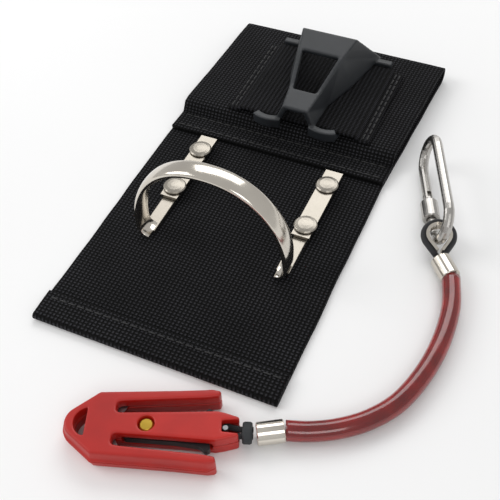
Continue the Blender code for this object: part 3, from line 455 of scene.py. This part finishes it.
SEAM_ROWS = (118.4, 125.2)
HEM_ROW = 10.2
SEAM_EDGE = 2.0
THREAD_RISE = 0.12
seam_z = LAYER_Z + 1.5 * SHEET + THREAD_RISE
for y in SEAM_ROWS:
    seam((-PANEL_WIDE / 2 + SEAM_EDGE, y, seam_z), (PANEL_WIDE / 2 - SEAM_EDGE, y, seam_z))
hem_z = HEM_Z + SHEET / 2 + THREAD_RISE
seam((-PANEL_WIDE / 2 + SEAM_EDGE, HEM_ROW, hem_z), (PANEL_WIDE / 2 - SEAM_EDGE, HEM_ROW, hem_z))
web_y = [(v - start.y) / MM for v in (webbing_low.y, webbing_high.y)]
web_z = (base_z - start.z) / MM + WEB_THICK / 2 + 0.1
WEB_ROWS = (1.2, 3.0)
for inset in WEB_ROWS:
    for side in (-1, 1):
        x = (web_middle - start.x) / MM + side * (web_half / MM - inset)
        seam((x - lean(web_y[0]), web_y[0] + 1.0, web_z), (x - lean(web_y[1]), web_y[1] - 1.0, web_z))
mesh = bpy.data.meshes.new("thread")
mesh.from_pydata(verts, [], faces)
mesh.shade_smooth()
mesh.materials.append(thread)
stitches = bpy.data.objects.new("stitches", mesh)
bpy.context.scene.collection.objects.link(stitches)
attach(stitches, "holster")
print("stitches:", len(faces), "faces")

# %% [markdown]
# ## Cords and tube
# The lanyard is a length of braided cord inside a soft red vinyl tube. A metal sleeve is crimped on
# each end, and the cord comes out of it as an eye. A tube along a line needs a frame that doesn't twist,
# so each ring's directions are carried on from the ring before it.

# %% Sweep helper
def smooth(points, steps):
    """A Catmull-Rom line through the points."""
    knots = [2 * points[0] - points[1], *points, 2 * points[-1] - points[-2]]
    made = []
    for a, b, c, d in zip(knots, knots[1:], knots[2:], knots[3:]):
        for i in range(steps):
            t = i / steps
            made.append(0.5 * (2 * b + (c - a) * t + (2 * a - 5 * b + 4 * c - d) * t**2
                               + (3 * b - a - 3 * c + d) * t**3))
    return [*made, points[-1]]


def swept(name, line, radii, look, sides=28, inner=0.0):
    """A round tube along a line, with a UV map in metres. With an inner radius it is hollow."""
    turn_on = (line[1] - line[0]).normalized()
    out = turn_on.orthogonal().normalized()
    verts, faces, places, run = [], [], [], 0.0
    for i, point in enumerate(line):
        ahead, behind = line[min(i + 1, len(line) - 1)], line[max(i - 1, 0)]
        along = (ahead - behind).normalized()
        out = (out - along * out.dot(along)).normalized()
        side = along.cross(out)
        run += (point - line[i - 1]).length if i else 0
        radius = radii[i] if isinstance(radii, list) else radii
        for k in range(sides + 1):
            t = 2 * math.pi * k / sides
            verts.append(point + (out * math.cos(t) + side * math.sin(t)) * radius)
            places.append((radius * t, run))
    row = sides + 1
    for i in range(len(line) - 1):
        for k in range(sides):
            faces.append((i * row + k, i * row + k + 1, (i + 1) * row + k + 1, (i + 1) * row + k))
    mesh = bpy.data.meshes.new(name)
    mesh.from_pydata(verts, [], faces)
    layer = mesh.uv_layers.new(name="cloth")
    for loop in mesh.loops:
        layer.data[loop.index].uv = places[loop.vertex_index]
    bm = bmesh.new()
    bm.from_mesh(mesh)
    bmesh.ops.remove_doubles(bm, verts=bm.verts, dist=1e-6)
    if not inner:
        bmesh.ops.holes_fill(bm, edges=[e for e in bm.edges if e.is_boundary], sides=0)
    bmesh.ops.recalc_face_normals(bm, faces=bm.faces)
    bm.to_mesh(mesh)
    bm.free()
    mesh.shade_smooth()
    mesh.materials.append(look)
    made = bpy.data.objects.new(name, mesh)
    bpy.context.scene.collection.objects.link(made)
    if inner:
        shell = made.modifiers.new("wall", "SOLIDIFY")
        shell.thickness = radii - inner
        shell.offset = -1
    return made


print("sweep ready")

# %% [markdown]
# Soft vinyl is clear with a strong tint, so light goes in, picks up red and comes out deeper where the
# wall is seen edge on. That is a transmissive surface with a smooth gloss and an IOR of 1.53. The braid
# inside is a crossing of two sets of slanting yarns, drawn as two waves that lean opposite ways.

# %% Vinyl and braid finishes
vinyl, tree, shader = finish("clear_red_vinyl", "#D8201C", 0.10, IOR=1.53, Transmission_Weight=0.70,
                             Coat_Weight=0.5, Coat_Roughness=0.06)
spot = add(tree, "TexCoord")
cloud = add(tree, "TexNoise", {"Vector": spot.outputs["Object"], "Scale": 130.0, "Detail": 3.0})
tint = ramp(tree, cloud.outputs["Fac"], [(0.30, "#980A0C"), (0.70, "#C2140F")])
tree.links.new(tint, shader.inputs["Base Color"])
tree.links.new(spread(tree, cloud.outputs["Fac"], 0.06, 0.20), shader.inputs["Roughness"])
relief(tree, shader, cloud.outputs["Fac"], 0.05 * MM)


def braided(name, dark, light, pitch):
    """Two sets of yarns slanting opposite ways round a cord."""
    made, tree, shader = finish(name, dark, 0.7, Sheen_Weight=0.15)
    uv = add(tree, "UVMap", uv_map="cloth")
    parts = add(tree, "SeparateXYZ", {"Vector": uv.outputs["UV"]})
    waves = []
    for slant in (1.0, -1.0):
        mixed = add(tree, "Math", {0: parts.outputs["X"], 1: slant, 2: parts.outputs["Y"]},
                    operation="MULTIPLY_ADD")
        turn = add(tree, "Math", {0: mixed.outputs[0], 1: math.pi / pitch}, operation="MULTIPLY").outputs[0]
        sine = add(tree, "Math", {0: turn}, operation="SINE").outputs[0]
        waves.append(add(tree, "Math", {0: sine}, operation="ABSOLUTE").outputs[0])
    top = add(tree, "Math", {0: waves[0], 1: waves[1]}, operation="MAXIMUM").outputs[0]
    # the ramp follows the yarn height: a painted highlight on the crests and painted shade in the grooves, so
    # the light colour of each braid is painted
    tree.links.new(ramp(tree, top, [(0.55, dark), (1.0, light)]), shader.inputs["Base Color"])
    relief(tree, shader, top, 0.25 * MM)
    return made


eye_braid = braided("black_polyester_braid", "#070708", "#26262a", 0.8 * MM)
core_braid = braided("dark_core_braid", "#120305", "#33090d", 1.1 * MM)
print("cord finishes ready")

# %% [markdown]
# The route is the lanyard's own line on the table: out of the cutter's ferrule, round in one loose
# curve to the right, and up to the second ferrule. The tube starts inside each crimped sleeve.

# %% Lanyard
TILT = math.radians(20.7)
pin = Vector(next(j for j in frame["joints"] if j["name"] == "cutter_swing")["pos_m"])


def on_cutter(s, v=0.0, z=0.0):
    """A point beside the cutter, in millimetres along it, across it and off the middle of its thickness."""
    along = Vector((math.cos(TILT), math.sin(TILT), 0))
    aside = Vector((-math.sin(TILT), math.cos(TILT), 0))
    return pin + (along * s + aside * v + Vector((0, 0, z))) * MM


def heading(degrees):
    """A direction along the table."""
    return Vector((math.cos(math.radians(degrees)), math.sin(math.radians(degrees)), 0))


FERRULE_LONG, FERRULE_Z, FIT_GAP = 9.5, 4.2, 0.3
low_way = heading(30.7)
low_start = on_cutter(10.2, 0, FERRULE_Z - pin.z / MM)
low_end = low_start + low_way * FERRULE_LONG * MM
top_way = heading(130.5)
top_start = at(90.1, 76.3, FERRULE_Z)
top_end = top_start + top_way * FERRULE_LONG * MM
TUBE_R, TUBE_WALL, CORE_R = 3.6, 1.15, 2.0
TUBE_Z = TUBE_R + 0.3
ROUTE = [(64.7, -5.7), (73.5, -0.7), (81.8, 6.6), (88.7, 16.9), (93.1, 31.1), (94.9, 46.5), (94.0, 62.5)]
route = [low_end + low_way * FIT_GAP * MM]
route += [at(x, y, TUBE_Z) for x, y in ROUTE]
route += [top_start - top_way * FIT_GAP * MM]
lanyard_line = smooth(route, 9)
lanyard_sheath = swept("lanyard_sheath", lanyard_line, TUBE_R * MM, vinyl, inner=(TUBE_R - TUBE_WALL) * MM)
lanyard_core = swept("lanyard_core", lanyard_line, CORE_R * MM, core_braid, sides=20)
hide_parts("lanyard_tube")
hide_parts("core_cord")
for piece, slot in ((lanyard_sheath, "tube_red"), (lanyard_core, "core_dark")):
    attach(piece, "lanyard")

# %% [markdown]
# ## Cord eyes
# At the cutter, the cord goes round a pin inside the tail and both runs come back through a rubber
# keeper. At the other end it lies in the groove of a metal thimble. The first eye has to bend when the
# cutter swings; here it is baked in place and attached to no body.

# %% Eyes
EYE_R, PIN_R = 1.05, 0.9
loop_r = PIN_R + FIT_GAP + 1.15
legs = 1.20
LEG_ROUTE = [(9.2, legs), (7.2, legs), (5.0, legs + 0.02), (2.4, legs + 0.5)]
eye_line = [on_cutter(s, v) for s, v in LEG_ROUTE]
eye_line += [on_cutter(loop_r * math.cos(t), loop_r * math.sin(t))
             for t in (math.radians(60 + 240 * i / 14) for i in range(15))]
eye_line += [on_cutter(s, -v) for s, v in reversed(LEG_ROUTE)]
cutter_eye = swept("cutter_eye", smooth(eye_line, 3), EYE_R * MM, eye_braid, sides=14)
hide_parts("eye_cord_knife")
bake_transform(cutter_eye)

arc_spot = Vector(next(j for j in frame["joints"] if j["name"] == "carabiner_swing")["pos_m"])
from_spot = top_end + top_way * FIT_GAP * MM
thimble_way = (arc_spot - from_spot).normalized()
thimble_side = Vector((0, 0, 1)).cross(thimble_way).normalized()
HOLE_R, CORD_LINE_R, CORD_R, TIP = 3.9, 5.9, 1.22, 1.35
bow = (arc_spot - from_spot).length / MM - (HOLE_R + CORD_LINE_R + 1.3) / 2
slope = math.asin((CORD_LINE_R - TIP) / (bow - 1.5))


def on_thimble(along, across):
    """A point in the thimble's plane, in millimetres from the second ferrule."""
    return from_spot + (thimble_way * along + thimble_side * across) * MM


turns = [math.pi / 2 + slope - (math.pi + 2 * slope) * i / 18 for i in range(19)]
bow_line = [on_thimble(bow + CORD_LINE_R * math.cos(t), CORD_LINE_R * math.sin(t)) for t in turns]
thimble_line = [on_thimble(1.3, TIP), *bow_line, on_thimble(1.3, -TIP)]
thimble_line = [thimble_line[0], thimble_line[0].lerp(bow_line[0], 0.5), *bow_line,
                bow_line[-1].lerp(thimble_line[-1], 0.5), thimble_line[-1]]
thimble_eye = swept("thimble_eye", smooth(thimble_line, 2), CORD_R * MM, eye_braid, sides=14)
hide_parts("eye_cord_thimble")
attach(thimble_eye, "lanyard")
print("eyes made")

# %% [markdown]
# ## Metal finishes
# The hoop and the crimped sleeves are steel plated with bright nickel: a smooth warm mirror, with faint
# polishing lines and finger marks that only change how sharp the reflection is. The plates and rivets
# have a satin plate, the carabiner is tumbled stainless, and brass and ground steel follow the same
# recipe with their own colour and wear. Metals keep the default IOR.

# %% Metals
def plated(name, tint, shine, marks, line_spacing, depth, slant=(0, 0, 0)):
    """A metal with soft marks and fine lines a real distance apart."""
    made, tree, shader = finish(name, tint[1], shine, Metallic=1.0)
    spot = add(tree, "TexCoord")
    turned = add(tree, "Mapping", {"Vector": spot.outputs["Object"], "Rotation": slant})
    smear = add(tree, "TexNoise", {"Vector": turned.outputs["Vector"], "Scale": 70.0, "Detail": 4.0})
    thin = add(tree, "Mapping", {"Vector": turned.outputs["Vector"],
                                 "Scale": (1 / line_spacing, 1 / line_spacing, 0.08 / line_spacing)})
    lines = add(tree, "TexNoise", {"Vector": thin.outputs["Vector"], "Scale": 1.0, "Detail": 2.0})
    both = add(tree, "Math", {0: lines.outputs["Fac"], 1: 0.4, 2: smear.outputs["Fac"]},
               operation="MULTIPLY_ADD")
    tree.links.new(spread(tree, both.outputs[0], shine * 0.6, shine + marks), shader.inputs["Roughness"])
    tone = ramp(tree, smear.outputs["Fac"], [(0.25, tint[0]), (0.75, tint[1])])
    tree.links.new(tone, shader.inputs["Base Color"])
    relief(tree, shader, lines.outputs["Fac"], depth, 0.5)
    return made


nickel = plated("bright_nickel_plate", ("#C9C2B8", "#DDD7CC"), 0.10, 0.08, 0.35 * MM, 0.0004 * MM)
satin_nickel = plated("satin_nickel_plate", ("#8F8A81", "#ABA59B"), 0.27, 0.10, 0.30 * MM, 0.002 * MM)
cast_nickel = plated("tumbled_stainless", ("#A9A6A2", "#D2CFCA"), 0.20, 0.12, 0.25 * MM, 0.002 * MM)
turned_brass = plated("turned_brass", ("#A5832A", "#D2B04E"), 0.22, 0.15, 0.20 * MM, 0.01 * MM)
ground_steel = plated("ground_steel", ("#8F9092", "#B9BABC"), 0.25, 0.15, 0.10 * MM, 0.008 * MM)
print("metals ready")

# %% [markdown]
# ## Moulded plastics
# The cutter's halves are a tough nylon moulded in red, and the clip is the same plastic in dark grey. A
# mould leaves a fine spark-eroded grain, which breaks up the highlight. The sharp convex edges get a paler
# painted highlight, and the Geometry node's pointiness finds them.

# %% Plastics
def moulded(name, tones, roughness, grain, depth, edge=None):
    """A moulded plastic with a fine grain, a slight mottle and a paler painted highlight on sharp edges."""
    made, tree, shader = finish(name, tones[1], roughness, IOR=1.5)
    spot = add(tree, "TexCoord")
    mottle = add(tree, "TexNoise", {"Vector": spot.outputs["Object"], "Scale": 55.0, "Detail": 5.0})
    base = ramp(tree, mottle.outputs["Fac"], [(0.30, tones[0]), (0.70, tones[1])])
    # a painted highlight: sharp convex edges, found by pointiness and broken up by the mottle, are mixed
    # towards a paler colour
    if edge:
        shape = add(tree, "NewGeometry")
        painted_edge_highlight_mask = add(tree, "MapRange",
                  {"Value": shape.outputs["Pointiness"], "From Min": 0.52, "From Max": 0.62})
        patchy_tone_and_edge_highlight = add(tree, "Math", {0: painted_edge_highlight_mask.outputs["Result"], 1: mottle.outputs["Fac"]}, operation="MULTIPLY")
        base = add(tree, "Mix", {"Factor": patchy_tone_and_edge_highlight.outputs[0], "A": base, "B": linear(edge)},
                   data_type="RGBA").outputs["Result"]
    tree.links.new(base, shader.inputs["Base Color"])
    tiny = add(tree, "TexNoise", {"Vector": spot.outputs["Object"], "Scale": 1 / grain, "Detail": 2.0})
    gloss = spread(tree, tiny.outputs["Fac"], roughness - 0.06, roughness + 0.10)
    tree.links.new(gloss, shader.inputs["Roughness"])
    relief(tree, shader, tiny.outputs["Fac"], depth)
    return made


# the edge colours are painted highlights
red_nylon = moulded("red_moulded_nylon", ("#A3130B", "#B81A10"), 0.38, 0.30 * MM, 0.02 * MM, edge="#C6382B")
grey_nylon = moulded("grey_moulded_nylon", ("#1A1D20", "#25282C"), 0.42, 0.35 * MM, 0.03 * MM, edge="#474B51")
black_nylon = moulded("black_moulded_nylon", ("#0d0e10", "#1a1c1f"), 0.45, 0.30 * MM, 0.02 * MM)
keeper_rubber = moulded("moulded_rubber", ("#1c1e20", "#2c2f32"), 0.62, 0.40 * MM, 0.03 * MM)
print("plastics ready")

# %% [markdown]
# ## Dressing the frame's own parts
# The parts whose shape is already right keep it. Each gets its finish, and the hard-edged ones get a
# bevel modifier, because a real moulded or cut edge always has a small radius that catches the light.

# %% Finishes and soft edges
LOOKS = {
    nickel: ("ferrule_knife", "ferrule_thimble", "thimble"),
    satin_nickel: ("strap_plate_left", "strap_plate_right", "rivet_left_low", "rivet_left_high",
                   "rivet_right_low", "rivet_right_high", "washer_left_low", "washer_left_high",
                   "washer_right_low", "washer_right_high"),
    cast_nickel: ("carabiner_frame", "carabiner_gate", "gate_pin", "lock_sleeve"),
    turned_brass: ("shell_screw", "screw_nut"),
    ground_steel: ("anchor_pin", "lever_pin_near", "lever_pin_far", "blade_near", "blade_far",
                   "lever_spring_near", "lever_spring_far"),
    red_nylon: ("upper_shell", "lower_shell"),
    grey_nylon: ("clip_saddle",),
    black_nylon: ("guard_lever_near", "guard_lever_far"),
    keeper_rubber: ("keeper_band",),
}
for look, nodes in LOOKS.items():
    for name in nodes:
        part = frame["nodes"][name]
        part.data.materials.clear()
        part.data.materials.append(look)
BEVELLED = ("strap_plate_left", "strap_plate_right", "guard_lever_near", "guard_lever_far")
BEVEL = 0.25
for name in BEVELLED:
    edge = frame["nodes"][name].modifiers.new("edge", "BEVEL")
    edge.width = BEVEL * MM
    edge.segments = 3
    edge.limit_method = "ANGLE"
    edge.angle_limit = math.radians(32)

# a moulded corner is rounder: the part is rebuilt from small cells and its corners are relaxed
MOULDED = {"upper_shell": (0.32, 5), "lower_shell": (0.32, 5), "clip_saddle": (0.38, 9)}
for name, (cell, passes) in MOULDED.items():
    part = frame["nodes"][name]
    cells = part.modifiers.new("cells", "REMESH")
    cells.mode = "VOXEL"
    cells.voxel_size = cell * MM
    cells.use_smooth_shade = True
    relax = part.modifiers.new("relax", "SMOOTH")
    relax.factor = 0.5
    relax.iterations = passes
print("dressed", sum(len(nodes) for nodes in LOOKS.values()), "parts")

# %% [markdown]
# ## Hammer hoop
# The hoop is a crowned strip of steel, bent into an upright arch, and its two ends are pressed flat and
# run up the holster as tangs. A mirror finish shows every facet, so it is swept here with many more
# steps than the mechanical model needs. The arch is a superellipse, a little fuller than a half circle.

# %% Hoop
hoop_high = Vector(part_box("hammer_hoop")[1])
HOOP_HALF, FOOT_R, BAND_HALF = 31.0, 3.6, 4.25
EDGE_THICK, CROWN_THICK, CHAMFER = 1.1, 2.7, 0.25
FULLNESS, QUARTER_STEPS = 2.2, 44
TANG_Z, TANG_THICK, TANG_X, TANG_HALF = 3.8, 1.6, 29.5, 2.8
FOOT_Y = 51.5 + BAND_HALF
crown_z = (hoop_high.z - start.z) / MM - CROWN_THICK
side = [(HOOP_HALF - FOOT_R + FOOT_R * math.sin(t), TANG_Z + FOOT_R - FOOT_R * math.cos(t))
        for t in (math.radians(10 * i) for i in range(10))]
for i in range(1, QUARTER_STEPS + 1):
    t = math.pi / 2 * i / QUARTER_STEPS
    side.append((HOOP_HALF * max(math.cos(t), 0) ** (2 / FULLNESS),
                 TANG_Z + FOOT_R + (crown_z - TANG_Z - FOOT_R) * math.sin(t) ** (2 / FULLNESS)))
side[-1] = (0.0, crown_z)
arch = side + [(-x, z) for x, z in reversed(side[:-1])]
section = [(0.0, -BAND_HALF + CHAMFER), (0.0, BAND_HALF - CHAMFER), (CHAMFER, BAND_HALF),
           (EDGE_THICK - 0.1, BAND_HALF)]
section += [(EDGE_THICK + (CROWN_THICK - EDGE_THICK) * math.cos(t) ** 0.8, BAND_HALF * math.sin(t))
            for t in (math.radians(78 - 12 * i) for i in range(14))]
section += [(EDGE_THICK - 0.1, -BAND_HALF), (CHAMFER, -BAND_HALF)]
hoop_verts, hoop_faces = [], []
for i, (x, z) in enumerate(arch):
    ahead, behind = Vector(arch[min(i + 1, len(arch) - 1)]), Vector(arch[max(i - 1, 0)])
    along = (ahead - behind).normalized()
    outward = Vector((along.y, -along.x))
    full = min(1.0, max(0.0, (z - TANG_Z - 1) / 11))
    for n, y in section:
        thick = min(n, EDGE_THICK) + max(n - EDGE_THICK, 0) * full
        hoop_verts.append(at(x + outward.x * thick, FOOT_Y + y, z + outward.y * thick))
count = len(section)
for i in range(len(arch) - 1):
    for k in range(count):
        j = (k + 1) % count
        hoop_faces.append((i * count + k, i * count + j, (i + 1) * count + j, (i + 1) * count + k))
hoop_faces.append(tuple(reversed(range(count))))
hoop_faces.append(tuple((len(arch) - 1) * count + k for k in range(count)))
mesh = bpy.data.meshes.new("hoop")
mesh.from_pydata(hoop_verts, [], hoop_faces)
face_out(mesh)
mesh.shade_smooth()
mesh.set_sharp_from_angle(angle=math.radians(50))
mesh.materials.append(nickel)
hoop = bpy.data.objects.new("hoop_band", mesh)
bpy.context.scene.collection.objects.link(hoop)
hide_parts("hammer_hoop")


def slab(name, low, high, look):
    """A flat bar with softened edges, from two corners in millimetres on the holster."""
    (x0, y0, z0), (x1, y1, z1) = low, high
    outline = [(x0, y0), (x1, y0), (x1, y1), (x0, y1)]
    points = [at(x, y, z) for z in (z0, z1) for x, y in outline]
    sides = [(0, 3, 2, 1), (4, 5, 6, 7)] + [(i, (i + 1) % 4, (i + 1) % 4 + 4, i + 4) for i in range(4)]
    mesh = bpy.data.meshes.new(name)
    mesh.from_pydata(points, [], sides)
    face_out(mesh)
    mesh.materials.append(look)
    made = bpy.data.objects.new(name, mesh)
    bpy.context.scene.collection.objects.link(made)
    edge = made.modifiers.new("edge", "BEVEL")
    edge.width = 0.3 * MM
    edge.segments = 3
    return made


TANG_FROM, TANG_TOP = 55.2, 109.0
for sign, word in ((-1, "left"), (1, "right")):
    tang = slab("tang_" + word, (sign * TANG_X - TANG_HALF, TANG_FROM, TANG_Z - TANG_THICK),
                (sign * TANG_X + TANG_HALF, TANG_TOP, TANG_Z), satin_nickel)
    tang.parent = hoop
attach(hoop, "holster")
print("hoop:", len(hoop_faces), "faces, crown at", round(crown_z, 1), "mm")

# %% [markdown]
# ## The floor's finish
# The sweep is a matt white laminate. A little noise in its tone keeps the shadow from looking printed.

# %% Floor finish
sweep, tree, shader = finish("matt_white_sweep", "#F6F6F6", 0.75)
spot = add(tree, "TexCoord")
tone = add(tree, "TexNoise", {"Vector": spot.outputs["Object"], "Scale": 3.0})
pale = ramp(tree, tone.outputs["Fac"], [(0.3, "#F4F4F4"), (0.7, "#F9F9F9")])
tree.links.new(pale, shader.inputs["Base Color"])
floor.data.materials.append(sweep)

# %% [markdown]
# ## The lanyard's pieces
# The tube is a free cord of a real length. Its core, the two eyes and the parts that hang on the cord
# are gathered in one list.

# %% Lanyard pieces
on_it = [lanyard_core, cutter_eye, thimble_eye]
on_it += [frame["nodes"][name] for name in ("ferrule_knife", "keeper_band", "ferrule_thimble", "thimble",
                                            "carabiner_frame", "carabiner_gate", "gate_pin", "lock_sleeve")]
